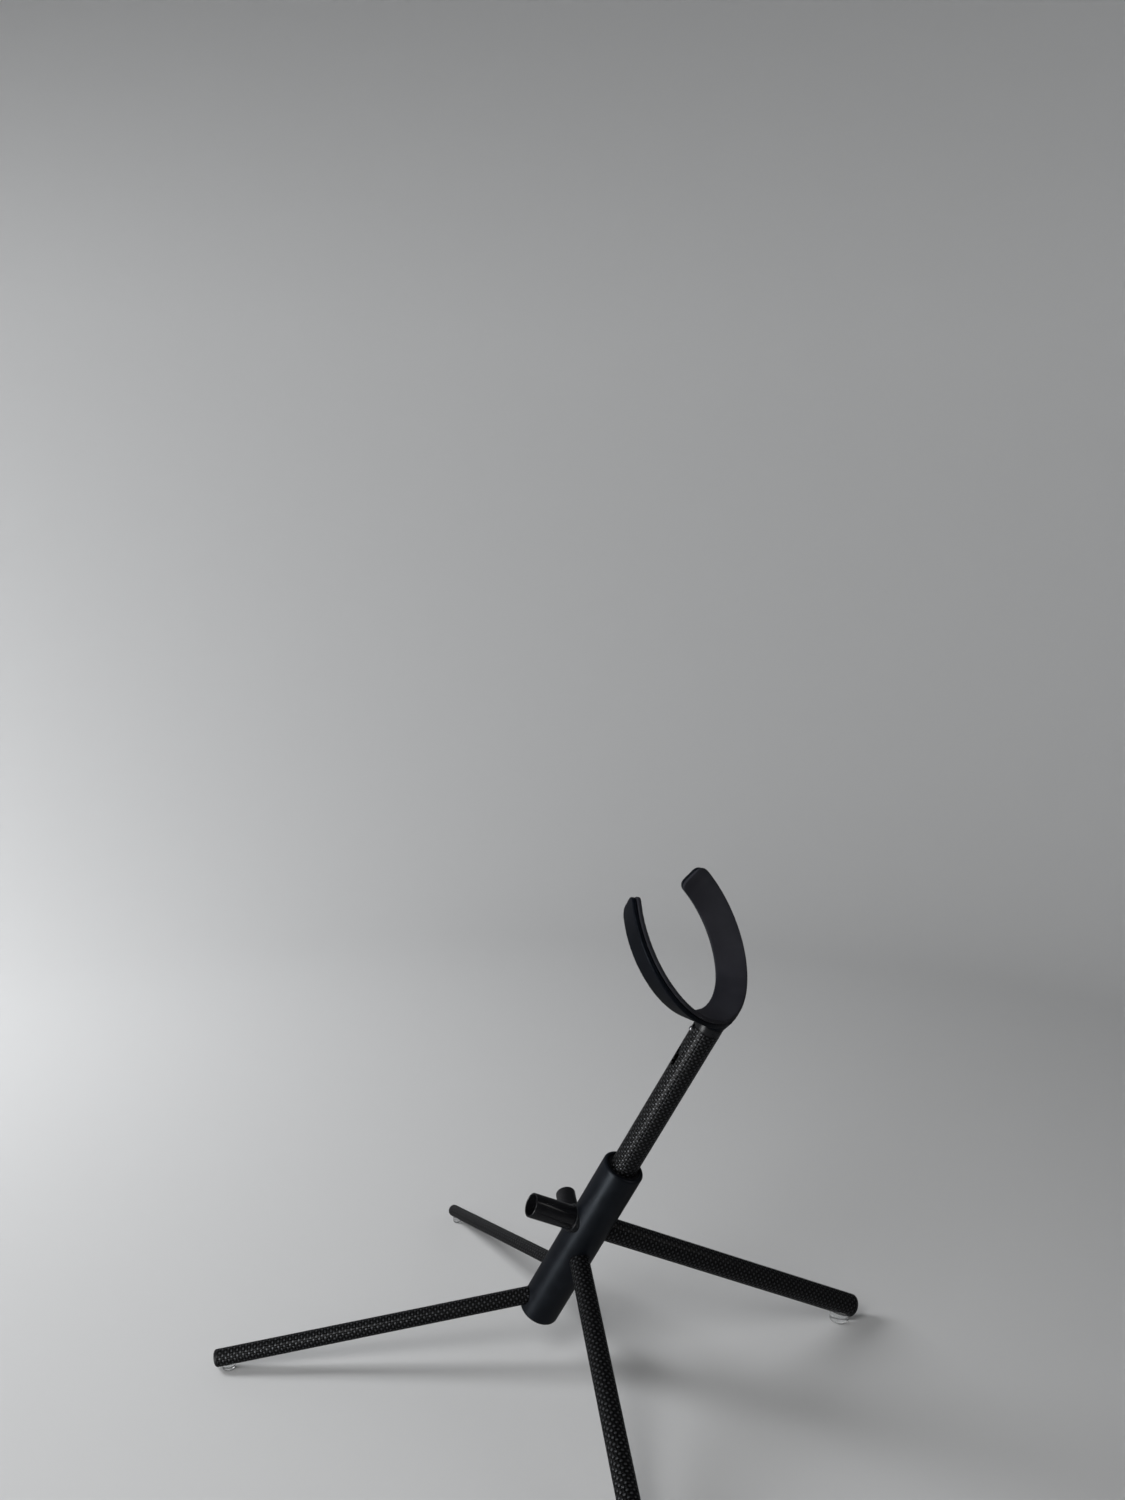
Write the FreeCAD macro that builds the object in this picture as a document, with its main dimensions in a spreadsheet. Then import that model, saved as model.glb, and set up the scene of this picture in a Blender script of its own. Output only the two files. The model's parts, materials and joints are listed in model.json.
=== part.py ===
import FreeCAD, Part
import math
import os
import Sketcher
from FreeCAD import Placement, Rotation, Vector

# A take-apart stand for an alto saxophone. A solid hub leans back. Four tube legs plug into it, the two
# rear ones run right through and end as short pegs that carry the bow, and a tube mast carries an open
# flared cradle for the bell.
#
# World frame: +X is the stand's right as seen from its front, +Y its rear, +Z up, and the floor is Z = 0.
# "Lean line" is the common axis of hub, mast and stem; a "station" is a distance along it from the floor.

doc = FreeCAD.newDocument("saxophone_stand")
sheet = doc.addObject("Spreadsheet::Sheet", "sizes")

# ---------------------------------------------------------------- driving dimensions, mm and degrees
SIZES = [
    ("lean_angle", 28.0),           # lean line from the vertical
    ("fit_gap", 0.05),              # radial running clearance of every tube in its socket
    ("hub_station", 32.4),          # underside of the hub
    ("hub_length", 119.5),
    ("hub_diameter", 25.0),
    ("hub_round", 1.6),             # rounding of both ends
    ("bush_diameter", 20.0),
    ("bush_length", 30.0),
    ("bush_recess", 0.8),           # the bush sits this far below the hub's top
    ("bush_lip", 2.0),              # thickness of the lip that the mast stands on
    ("bush_lip_bore", 12.5),
    ("mast_diameter", 16.0),
    ("mast_wall", 1.0),
    ("mast_stand", 104.5),          # mast above the hub's top
    ("slot_width", 4.6),            # witness slot in the front of the mast
    ("slot_length", 12.5),
    ("slot_drop", 22.5),            # middle of the slot below the mast's top
    ("notch_slack", 0.3),           # pin to notch, all round
    ("stem_collar", 4.5),           # height of the stem's shoulder above the mast
    ("spigot_length", 22.0),
    ("spigot_round", 1.0),
    ("pin_diameter", 3.0),
    ("key_turn", 40.0),             # pin, notch and slot, from straight forward towards the right
    ("pin_drop", 3.2),              # pin below the mast's top
    ("pin_proud", 1.6),             # pin head beyond the mast's surface
    ("pin_round", 1.2),             # rounding of the pin's head
    ("pin_start", 3.2),             # pin's inner end from the lean line
    ("ring_cord", 1.6),             # thickness of every o-ring's cord
    ("ring_slack", 0.03),           # o-ring to the tube that slides in it
    ("stem_ring_drop", 11.0),       # o-ring of the stem below the mast's top
    ("screw_diameter", 4.0),
    ("screw_head", 7.0),
    ("screw_head_height", 2.0),
    ("screw_length", 12.0),
    ("boss_floor", 1.8),            # boss left under the screw's head
    ("band_station", 261.1),        # lowest point of the band's lower edge
    ("band_forward", 6.3),          # that point, forward of the lean line
    ("band_tilt", 62.0),            # axis of the band from the vertical
    ("band_radius", 43.4),          # outside, at the lower edge
    ("band_flare", 36.0),           # half angle of the band's cone
    ("band_width", 17.0),           # along the slope
    ("band_wall", 2.6),
    ("band_reach", 128.0),          # the band covers this much each way from its lowest point
    ("band_corner", 5.0),
    ("liner_wall", 2.2),
    ("liner_proud", 0.9),           # liner beyond the band's upper edge
    ("boss_top", 20.0),             # diameter of the boss at its broad end, inside the band
    ("boss_height", 7.0),
    ("screw_slack", 0.2),
    ("rear_left_reach", 201.0),     # outer end of a leg from the lean line
    ("rear_right_reach", 196.0),
    ("front_right_reach", 202.0),
    ("front_left_reach", 202.0),
    ("rear_spread", 49.8),          # rear legs, from straight back
    ("front_spread", 144.7),        # front legs, from straight back
    ("foot_gap", 1.5),              # floor to the lowest point of a leg's end
    ("rear_left_diameter", 14.0),
    ("rear_right_diameter", 12.0),
    ("front_right_diameter", 10.0),
    ("front_left_diameter", 8.0),
    ("leg_wall", 1.0),
    ("rear_left_station", 105.5),
    ("rear_right_station", 86.7),
    ("front_right_station", 48.4),
    ("front_left_station", 69.7),
    ("socket_past", 3.5),           # a front leg's inner end beyond the lean line
    ("socket_slack", 0.5),          # socket floor beyond that end
    ("ring_place", 8.5),            # socket o-rings from the lean line
    ("peg_start", 9.0),             # peg and leg meet this far in front of the lean line
    ("peg_tip", 40.5),              # open end of a peg from the lean line
    ("joiner_in_leg", 12.0),
    ("joiner_in_peg", 12.0),
    ("joiner_bore_wall", 1.2),
    ("collar_wall", 1.0),
    ("collar_tip", 13.4),           # face of the peg collars from the lean line
    ("cap_head", 2.2),              # end cap outside the tube
    ("cap_round", 1.6),
    ("cap_spigot", 9.0),
    ("bumper_margin", 1.25),        # bumper narrower than its tube, each side
    ("bumper_inset", 7.2),          # bumper's middle from the leg's end
    ("bumper_round", 1.4),
]
for row, (alias, value) in enumerate(SIZES, start=1):
    sheet.set(f"A{row}", alias)
    sheet.set(f"B{row}", str(value))
    sheet.setAlias(f"B{row}", alias)
doc.recompute()


def size(alias):
    """The value that the sheet holds under this alias."""
    return float(sheet.get(alias))


def value_of(expression):
    """The number that an expression on the sheet gives."""
    result = sheet.evalExpression(expression)
    return float(getattr(result, "Value", result))


# ---------------------------------------------------------------- places
LEAN = math.radians(size("lean_angle"))
LEAN_LINE = Vector(0, math.sin(LEAN), math.cos(LEAN))
X_AXIS = Vector(1, 0, 0)
Z_AXIS = Vector(0, 0, 1)
HUB_TOP = size("hub_station") + size("hub_length")
MAST_TOP = HUB_TOP + size("mast_stand")
BUSH_BOTTOM = HUB_TOP - size("bush_recess") - size("bush_length")
MAST_BOTTOM = BUSH_BOTTOM + size("bush_lip")
MAST_LENGTH = "sizes.mast_stand + sizes.bush_recess + sizes.bush_length - sizes.bush_lip"
STEM_TOP = MAST_TOP + size("stem_collar")


def on_lean_line(station):
    """A frame at this station: Z up the lean line, X to the right, so -Y faces the front."""
    return Placement(LEAN_LINE * station, Rotation(X_AXIS, -size("lean_angle")))


def keyed(station):
    """A frame on the lean line, turned so that its front is the side of the pin, notch and slot."""
    return on_lean_line(station).multiply(Placement(Vector(), Rotation(Z_AXIS, size("key_turn"))))


def up(distance):
    """A shift along a frame's own Z."""
    return Placement(Vector(0, 0, distance), Rotation())


def leg_frame(name, side, spread):
    """A frame where a leg crosses the lean line, with Z outwards along the leg.

    The slope is the one that leaves foot_gap under the lowest point of the leg's outer end."""
    start = LEAN_LINE * size(name + "_station")
    radius = size(name + "_diameter") / 2
    reach = size(name + "_reach")
    drop = start.z - size("foot_gap")
    slope = math.asin(drop / math.hypot(reach, radius)) - math.atan2(radius, reach)
    turn = math.radians(spread)
    along = Vector(side * math.sin(turn) * math.cos(slope), math.cos(turn) * math.cos(slope), -math.sin(slope))
    return Placement(start, Rotation(Z_AXIS, along))


REAR_LEGS = {
    "rear_left": leg_frame("rear_left", -1, size("rear_spread")),
    "rear_right": leg_frame("rear_right", 1, size("rear_spread")),
}
FRONT_LEGS = {
    "front_right": leg_frame("front_right", 1, size("front_spread")),
    "front_left": leg_frame("front_left", -1, size("front_spread")),
}
LEGS = {**REAR_LEGS, **FRONT_LEGS}

nodes = {}


def keep(label, piece, place):
    """Enter a finished piece under its own label, at its place in the world."""
    piece.Label = label
    nodes[label] = (piece, place)
    return piece


def bind(piece, **properties):
    """Tie properties of a piece to expressions on the sheet."""
    for name, expression in properties.items():
        piece.setExpression(name, expression)
    return piece


def rod(name, radius, height, place=None):
    """A helper cylinder along its own Z."""
    cylinder = bind(doc.addObject("Part::Cylinder", name), Radius=radius, Height=height)
    cylinder.Placement = place or Placement()
    return cylinder


def ring(name, middle_radius, cord_radius, place=None):
    """A helper torus about its own Z."""
    torus = bind(doc.addObject("Part::Torus", name), Radius1=middle_radius, Radius2=cord_radius)
    torus.Placement = place or Placement()
    return torus


def cut(name, base, tools):
    """Base minus one tool, or minus several joined ones."""
    if len(tools) > 1:
        joined = doc.addObject("Part::MultiFuse", name + "_tools")
        joined.Shapes = tools
    else:
        joined = tools[0]
    result = doc.addObject("Part::Cut", name)
    result.Base = base
    result.Tool = joined
    return result


def origin_plane(body, role):
    """One of a body's own origin planes."""
    return next(plane for plane in body.Origin.OriginFeatures if plane.Role == role)


def turned(label, outline, rounds=()):
    """A piece turned about its own Z, as a Body that holds a sketch, a Revolution and its rounds.

    The outline is a list of (radius, height) pairs of expressions on the sheet. Each item of rounds is
    (radius expression, [(radius, height), ...]) and rounds the circular edges at those points."""
    body = doc.addObject("PartDesign::Body", label + "_body")
    sketch = body.newObject("Sketcher::SketchObject", label + "_outline")
    sketch.AttachmentSupport = [(origin_plane(body, "XZ_Plane"), "")]
    sketch.MapMode = "FlatFace"
    points = [(value_of(across), value_of(up)) for across, up in outline]
    count = len(points)
    for index in range(count):
        start = Vector(*points[index], 0)
        end = Vector(*points[(index + 1) % count], 0)
        sketch.addGeometry(Part.LineSegment(start, end), False)
    for index in range(count):
        sketch.addConstraint(Sketcher.Constraint("Coincident", index, 2, (index + 1) % count, 1))
    for index, (across, up) in enumerate(outline):
        for kind, expression, value, axis in (("DistanceX", across, points[index][0], -2),
                                              ("DistanceY", up, points[index][1], -1)):
            if expression == "0":
                sketch.addConstraint(Sketcher.Constraint("PointOnObject", index, 1, axis))
            else:
                number = sketch.addConstraint(Sketcher.Constraint(kind, -1, 1, index, 1, value))
                sketch.setExpression(f"Constraints[{number}]", expression)
    turn = body.newObject("PartDesign::Revolution", label + "_turned")
    turn.Profile = sketch
    turn.ReferenceAxis = (sketch, ["V_Axis"])
    doc.recompute()
    last = turn
    for number, (radius, corners) in enumerate(rounds):
        places = [(value_of(across), value_of(up)) for across, up in corners]
        names = [f"Edge{position}" for position, edge in enumerate(last.Shape.Edges, start=1)
                 if isinstance(edge.Curve, Part.Circle)
                 and any(abs(edge.Curve.Radius - across) < 1e-4 and abs(edge.Curve.Center.z - up) < 1e-4
                         for across, up in places)]
        fillet = body.newObject("PartDesign::Fillet", f"{label}_round{number}")
        fillet.Base = (last, names)
        bind(fillet, Radius=radius)
        doc.recompute()
        last = fillet
    body.Tip = last
    return body


# ---------------------------------------------------------------- hub
def make_hub():
    """Solid hub: rounded cylinder with a socket for the bush, two through bores and two blind ones.

    It is built upright on its own underside, and every bore is a rod placed from its leg's frame."""
    upright = on_lean_line(size("hub_station")).inverse()
    blank = rod("hub_blank", "sizes.hub_diameter / 2", "sizes.hub_length")
    doc.recompute()
    rounded = doc.addObject("Part::Fillet", "hub_rounded")
    rounded.Base = blank
    doc.recompute()
    circles = [number for number, edge in enumerate(blank.Shape.Edges, start=1)
               if isinstance(edge.Curve, Part.Circle)]
    rounded.Edges = [(number, size("hub_round"), size("hub_round")) for number in circles]
    mast_socket = rod("mast_socket", "sizes.bush_diameter / 2 + sizes.fit_gap", "sizes.hub_length",
                      upright.multiply(on_lean_line(BUSH_BOTTOM)))
    tools = [mast_socket]
    for name, frame in LEGS.items():
        bore_radius = f"sizes.{name}_diameter / 2 + sizes.fit_gap"
        back = -size("hub_length") if name in REAR_LEGS else -size("socket_past") - size("socket_slack")
        tools.append(rod(name + "_bore", bore_radius, "2 * sizes.hub_length",
                         upright.multiply(frame).multiply(up(back))))
        tools.append(ring(name + "_groove",
                          f"sizes.{name}_diameter / 2 + sizes.ring_slack + sizes.ring_cord / 2",
                          "sizes.ring_cord / 2",
                          upright.multiply(frame).multiply(up(size("ring_place")))))
    keep("hub", cut("hub_cut", rounded, tools), on_lean_line(size("hub_station")))


def make_socket_rings():
    """One rubber o-ring in each leg's socket, which grips the tube."""
    for name, frame in LEGS.items():
        ring_piece = ring(name + "_socket_ring",
                          f"sizes.{name}_diameter / 2 + sizes.ring_slack + sizes.ring_cord / 2",
                          "sizes.ring_cord / 2")
        keep(name + "_o_ring", ring_piece, frame.multiply(up(size("ring_place"))))


def make_peg_collars():
    """A thin raised collar round each peg, with its back fitted to the round of the hub."""
    for name, frame in REAR_LEGS.items():
        outside = rod(name + "_collar_blank", f"sizes.{name}_diameter / 2 + sizes.fit_gap + sizes.collar_wall",
                      "sizes.collar_tip", up(-size("collar_tip")))
        bore = rod(name + "_collar_bore", f"sizes.{name}_diameter / 2 + sizes.fit_gap", "2 * sizes.hub_length",
                   up(-size("hub_length")))
        hub_round = rod(name + "_collar_saddle", "sizes.hub_diameter / 2", "sizes.hub_length",
                        frame.inverse().multiply(on_lean_line(size("hub_station"))))
        keep(name + "_peg_collar", cut(name + "_collar", outside, [bore, hub_round]), frame)


# ---------------------------------------------------------------- mast
def make_bush():
    """Plastic liner in the hub's top that lets the mast turn; its lip carries the mast."""
    bush = turned("mast_bush", [
        ("sizes.bush_lip_bore / 2", "0"),
        ("sizes.bush_diameter / 2", "0"),
        ("sizes.bush_diameter / 2", "sizes.bush_length"),
        ("sizes.mast_diameter / 2 + sizes.fit_gap", "sizes.bush_length"),
        ("sizes.mast_diameter / 2 + sizes.fit_gap", "sizes.bush_lip"),
        ("sizes.bush_lip_bore / 2", "sizes.bush_lip"),
    ])
    keep("mast_bush", bush, on_lean_line(BUSH_BOTTOM))


def make_mast():
    """Mast tube with a notch for the stem's pin in its top and a witness slot in line below it."""
    length = value_of(MAST_LENGTH)
    outside = rod("mast_outside", "sizes.mast_diameter / 2", MAST_LENGTH)
    inside = rod("mast_inside", "sizes.mast_diameter / 2 - sizes.mast_wall", MAST_LENGTH)
    forward = Rotation(X_AXIS, 90)
    slot_middle = length - size("slot_drop")
    half_straight = (size("slot_length") - size("slot_width")) / 2
    slot_ends = [rod(f"slot_end_{side}", "sizes.slot_width / 2", "sizes.mast_diameter",
                     Placement(Vector(0, 0, slot_middle + offset), forward))
                 for side, offset in (("low", -half_straight), ("high", half_straight))]
    slot_run = bind(doc.addObject("Part::Box", "slot_run"), Length="sizes.slot_width",
                    Width="sizes.mast_diameter", Height="sizes.slot_length - sizes.slot_width")
    slot_run.Placement = Placement(Vector(-size("slot_width") / 2, -size("mast_diameter"),
                                          slot_middle - half_straight), Rotation())
    notch_floor = rod("notch_floor", "sizes.pin_diameter / 2 + sizes.notch_slack", "sizes.mast_diameter",
                      Placement(Vector(0, 0, length - size("pin_drop")), forward))
    notch_run = bind(doc.addObject("Part::Box", "notch_run"),
                     Length="sizes.pin_diameter + 2 * sizes.notch_slack",
                     Width="sizes.mast_diameter", Height="2 * sizes.pin_drop")
    notch_run.Placement = Placement(Vector(-size("pin_diameter") / 2 - size("notch_slack"),
                                           -size("mast_diameter"), length - size("pin_drop")), Rotation())
    keep("mast_tube", cut("mast_cut", outside, [inside, *slot_ends, slot_run, notch_floor, notch_run]),
         keyed(MAST_BOTTOM))


# ---------------------------------------------------------------- stem
def make_stem():
    """Stem under the cradle: a spigot that fits the mast, and a shoulder that stands on the mast's end."""
    spigot = "sizes.mast_diameter / 2 - sizes.mast_wall - sizes.fit_gap"
    top = "sizes.spigot_length + sizes.stem_collar"
    blank = turned("stem_blank", [
        ("0", "0"),
        (spigot, "0"),
        (spigot, "sizes.spigot_length"),
        ("sizes.mast_diameter / 2", "sizes.spigot_length"),
        ("sizes.mast_diameter / 2", top),
        ("0", top),
    ], rounds=[("sizes.spigot_round", [(spigot, "0")])])
    height = size("spigot_length")
    groove = ring("stem_groove", spigot + " + sizes.fit_gap - sizes.ring_slack - sizes.ring_cord / 2",
                  "sizes.ring_cord / 2",
                  up(height - size("stem_ring_drop")))
    thread = rod("stem_thread", "sizes.screw_diameter / 2", "2 * sizes.screw_length",
                 up(height + size("stem_collar") + size("boss_floor") - size("screw_length")))
    pin_hole = rod("stem_pin_hole", "sizes.pin_diameter / 2", "sizes.mast_diameter",
                   Placement(Vector(0, -size("pin_start"), height - size("pin_drop")), Rotation(X_AXIS, 90)))
    keep("cradle_stem", cut("stem_cut", blank, [groove, thread, pin_hole]),
         keyed(MAST_TOP - height))


def make_stem_parts():
    """The stem's pin, which keys it in the mast's notch, its o-ring, and the screw that holds the band."""
    reach = "sizes.mast_diameter / 2 + sizes.pin_proud - sizes.pin_start"
    pin = turned("stem_pin", [
        ("0", "0"),
        ("sizes.pin_diameter / 2", "0"),
        ("sizes.pin_diameter / 2", reach),
        ("0", reach),
    ], rounds=[("sizes.pin_round", [("sizes.pin_diameter / 2", reach)])])
    keep("stem_pin", pin, keyed(MAST_TOP - size("pin_drop")).multiply(
        Placement(Vector(0, -size("pin_start"), 0), Rotation(X_AXIS, 90))))
    stem_ring = ring("stem_ring", "sizes.mast_diameter / 2 - sizes.mast_wall - sizes.ring_slack"
                     " - sizes.ring_cord / 2", "sizes.ring_cord / 2")
    keep("stem_o_ring", stem_ring, on_lean_line(MAST_TOP - size("stem_ring_drop")))
    shank_top = "sizes.screw_length"
    head_top = "sizes.screw_length + sizes.screw_head_height"
    screw = turned("cradle_screw", [
        ("0", "0"),
        ("sizes.screw_diameter / 2", "0"),
        ("sizes.screw_diameter / 2", shank_top),
        ("sizes.screw_head / 2", shank_top),
        ("sizes.screw_head / 2", head_top),
        ("0", head_top),
    ])
    keep("cradle_screw", screw, on_lean_line(STEM_TOP + size("boss_floor") - size("screw_length")))


# ---------------------------------------------------------------- cradle
FLARE = math.radians(size("band_flare"))
SLOPE = Vector(math.sin(FLARE), 0, math.cos(FLARE))
INWARD = Vector(-math.cos(FLARE), 0, math.sin(FLARE))
BAND_TILT = math.radians(size("band_tilt"))
BAND_AXIS = Vector(0, math.sin(BAND_TILT), math.cos(BAND_TILT))
BAND_DOWN = Vector(0, math.cos(BAND_TILT), -math.sin(BAND_TILT))
BAND_LOWEST = on_lean_line(size("band_station")).multVec(Vector(0, -size("band_forward"), 0))


def band_frame():
    """A frame in the middle of the band's lower edge: Z along the band's axis, X to its lowest point."""
    middle = BAND_LOWEST - BAND_DOWN * size("band_radius")
    return Placement(middle, Rotation(BAND_DOWN, Vector(), BAND_AXIS, "ZXY"))


def strip(depth, wall, low, high):
    """A flared strip about Z: depth inside the band's outer cone, wall thick, from low to high up the slope.

    It is the turned outline of a slanted rectangle, swept band_reach each way from +X."""
    edge = Vector(size("band_radius"), 0, 0)
    corners = [edge + INWARD * into + SLOPE * up
               for into, up in ((depth, low), (depth, high), (depth + wall, high), (depth + wall, low))]
    face = Part.Face(Part.makePolygon(corners + corners[:1]))
    face.rotate(Vector(), Z_AXIS, -size("band_reach"))
    return face.revolve(Vector(), Z_AXIS, 2 * size("band_reach"))


def round_ends(shape, radius):
    """Round the corners at both ends of a strip: the edges that cross its thickness there."""
    across = [edge for edge in shape.Edges
              if isinstance(edge.Curve, Part.Line)
              and abs(edge.tangentAt(edge.FirstParameter).dot(Z_AXIS)) < math.sin(FLARE) + 0.05]
    return shape.makeFillet(radius, across)


def seat_cone(depth):
    """Everything inside the cone that lies this deep within the band's outer cone."""
    start = -size("band_width")
    end = 3 * size("band_width")
    radius_at = [size("band_radius") + height * math.tan(FLARE) - depth / math.cos(FLARE)
                 for height in (start, end)]
    return Part.makeCone(radius_at[0], radius_at[1], end - start, Vector(0, 0, start), Z_AXIS)


def make_cradle():
    """Cradle band with the boss that stands on the stem, and the soft liner inside the band.

    The boss widens upwards from the stem's round, and the seat's cone trims it."""
    frame = band_frame()
    to_band = frame.inverse()
    band = round_ends(strip(0, size("band_wall"), 0, size("band_width")), size("band_corner"))
    boss = Part.makeCone(size("mast_diameter") / 2, size("boss_top") / 2, size("boss_height"))
    boss.Placement = to_band.multiply(on_lean_line(STEM_TOP))
    head_room = Part.makeCylinder(size("screw_head") / 2 + size("screw_slack"), size("band_width"))
    head_room.Placement = to_band.multiply(on_lean_line(STEM_TOP + size("boss_floor")))
    shank = Part.makeCylinder(size("screw_diameter") / 2, 2 * size("boss_floor"))
    shank.Placement = to_band.multiply(on_lean_line(STEM_TOP - size("boss_floor") / 2))
    shape = band.fuse(boss.cut(seat_cone(size("band_wall")))).cut(head_room).cut(shank).removeSplitter()
    piece = doc.addObject("Part::Feature", "cradle_shape")
    piece.Shape = shape.Solids[0] if len(shape.Solids) == 1 else shape
    keep("cradle_band", piece, frame)
    liner = doc.addObject("Part::Feature", "liner_shape")
    liner.Shape = round_ends(strip(size("band_wall"), size("liner_wall"), 0,
                                   size("band_width") + size("liner_proud")), size("band_corner"))
    keep("cradle_liner", liner, frame)


# ---------------------------------------------------------------- legs
def make_legs():
    """Leg tubes, each with a rounded cap in its outer end and a clear bumper under it."""
    for name, frame in LEGS.items():
        start = -size("peg_start") if name in REAR_LEGS else -size("socket_past")
        begin = "sizes.peg_start" if name in REAR_LEGS else "sizes.socket_past"
        outer = f"sizes.{name}_diameter / 2"
        bore = f"{outer} - sizes.leg_wall"
        length = f"sizes.{name}_reach - sizes.cap_head + {begin}"
        tube = turned(name + "_leg", [(bore, "0"), (outer, "0"), (outer, length), (bore, length)])
        keep(name + "_leg", tube, frame.multiply(up(start)))
        top = "sizes.cap_spigot + sizes.cap_head"
        cap = turned(name + "_cap", [("0", "0"), (bore, "0"), (bore, "sizes.cap_spigot"),
                                     (outer, "sizes.cap_spigot"), (outer, top), ("0", top)],
                     rounds=[("sizes.cap_round", [(outer, top)])])
        keep(name + "_cap", cap, frame.multiply(up(size(name + "_reach") - value_of(top))))
        make_bumper(name, frame)


def make_bumper(name, frame):
    """Clear bumper: an upright round pad from the floor, with its top fitted to the leg's underside."""
    along = frame.Rotation.multVec(Z_AXIS)
    radius = size(name + "_diameter") / 2
    level = Vector(along.x, along.y, 0).normalize()
    under = (level * along.z) - (Z_AXIS * level.dot(along))
    above = frame.Base + along * (size(name + "_reach") - size("bumper_inset"))
    middle = above + under * radius
    upright = Placement(Vector(middle.x, middle.y, 0), Rotation())
    pad_radius = f"sizes.{name}_diameter / 2 - sizes.bumper_margin"
    pad = rod(name + "_pad", pad_radius, f"{above.z}")
    rounded = doc.addObject("Part::Fillet", name + "_pad_rounded")
    rounded.Base = pad
    doc.recompute()
    floor_edge = [number for number, edge in enumerate(pad.Shape.Edges, start=1)
                  if isinstance(edge.Curve, Part.Circle) and edge.Curve.Center.z < 1e-6]
    rounded.Edges = [(number, size("bumper_round"), size("bumper_round")) for number in floor_edge]
    leg_room = rod(name + "_pad_saddle", f"sizes.{name}_diameter / 2", f"sizes.{name}_reach",
                   upright.inverse().multiply(frame))
    keep(name + "_bumper", cut(name + "_pad_cut", rounded, [leg_room]), upright)


def make_pegs():
    """Peg tubes on the front of the rear legs, each held to its leg by a hollow joiner inside both."""
    for name, frame in REAR_LEGS.items():
        outer = f"sizes.{name}_diameter / 2"
        bore = f"{outer} - sizes.leg_wall"
        length = "sizes.peg_tip - sizes.peg_start"
        peg = turned(name + "_peg", [(bore, "0"), (outer, "0"), (outer, length), (bore, length)])
        keep(name + "_peg", peg, frame.multiply(up(-size("peg_tip"))))
        inner = f"{bore} - sizes.joiner_bore_wall"
        full = "sizes.joiner_in_leg + sizes.joiner_in_peg"
        joiner = turned(name + "_joiner", [(inner, "0"), (bore, "0"), (bore, full), (inner, full)])
        keep(name + "_joiner", joiner, frame.multiply(up(-size("peg_start") - size("joiner_in_peg"))))


make_hub()
make_socket_rings()
make_peg_collars()
make_bush()
make_mast()
make_stem()
make_stem_parts()
make_cradle()
make_legs()
make_pegs()
doc.recompute()

# ---------------------------------------------------------------- origin, checks and files
for piece, place in nodes.values():
    piece.Placement = place
doc.recompute()
whole = Part.makeCompound([piece.Shape for piece, place in nodes.values()]).optimalBoundingBox(False)
to_origin = Placement(Vector(-whole.Center.x, -whole.Center.y, 0), Rotation())
for piece, place in nodes.values():
    piece.Placement = to_origin.multiply(place)
doc.recompute()

failed = [thing.Name for thing in doc.Objects if "Invalid" in thing.State or "Error" in thing.State]
if failed:
    raise RuntimeError("failed objects: " + ", ".join(failed))
for label, (piece, place) in nodes.items():
    if piece.Shape.isNull() or not piece.Shape.isValid() or not piece.Shape.Solids:
        raise RuntimeError("bad shape: " + label)

os.makedirs("parts", exist_ok=True)
for label, (piece, place) in nodes.items():
    piece.Shape.exportStep(f"parts/{label}.step")
    box = piece.Shape.BoundBox
    print(f"{label:26s} solids {len(piece.Shape.Solids)}  volume {piece.Shape.Volume:9.1f}  "
          f"x {box.XMin:7.1f}..{box.XMax:6.1f}  y {box.YMin:7.1f}..{box.YMax:6.1f}  z {box.ZMin:6.1f}..{box.ZMax:6.1f}")
print("origin of the lean line on the floor:", to_origin.Base)
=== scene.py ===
# %% [markdown]
# # A take-apart saxophone stand
# The stand is a set of plain round things: tubes, plugs and rings, one solid hub, and one flared cradle. Its
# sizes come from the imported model, which is loaded first and never moved. A piece could simply be given a
# finish as it comes, but loose triangles give a glossy tube hard facets and leave a woven pattern nothing to
# follow. So each visible piece is made again as a smooth surface that fills the same space.
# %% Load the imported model
import json
import math
import bmesh
import bpy
import numpy as np
from mathutils import Matrix, Vector


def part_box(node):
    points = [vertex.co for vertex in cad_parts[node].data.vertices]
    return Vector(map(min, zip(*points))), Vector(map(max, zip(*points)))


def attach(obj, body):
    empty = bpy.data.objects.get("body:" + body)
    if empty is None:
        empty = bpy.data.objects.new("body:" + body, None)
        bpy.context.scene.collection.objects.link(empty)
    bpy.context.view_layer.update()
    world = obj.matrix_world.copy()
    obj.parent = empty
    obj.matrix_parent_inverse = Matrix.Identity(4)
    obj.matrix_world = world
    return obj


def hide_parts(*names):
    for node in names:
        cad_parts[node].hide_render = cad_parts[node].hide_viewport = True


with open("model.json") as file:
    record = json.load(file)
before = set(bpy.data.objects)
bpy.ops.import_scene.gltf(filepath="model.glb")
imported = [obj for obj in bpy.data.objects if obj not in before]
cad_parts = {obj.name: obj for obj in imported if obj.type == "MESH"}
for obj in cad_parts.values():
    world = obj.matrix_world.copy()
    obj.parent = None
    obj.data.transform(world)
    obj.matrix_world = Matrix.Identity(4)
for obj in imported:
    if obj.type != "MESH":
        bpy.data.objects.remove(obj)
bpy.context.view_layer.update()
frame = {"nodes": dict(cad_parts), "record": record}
MM = 0.001
joints = {joint["name"]: joint for joint in frame["record"]["behaviour"]["joints"]}
LEAN = np.array(joints["mast_turn"]["axis"], float)
LEAN_FOOT = np.array(joints["mast_turn"]["pos_m"], float)
LEGS = ["rear_left", "rear_right", "front_right", "front_left"]
LEG_AXIS = {leg: np.array(joints[leg + "_leg_pull"]["axis"], float) for leg in LEGS}
print("lean line", LEAN.round(3), "from", LEAN_FOOT.round(4))

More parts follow.
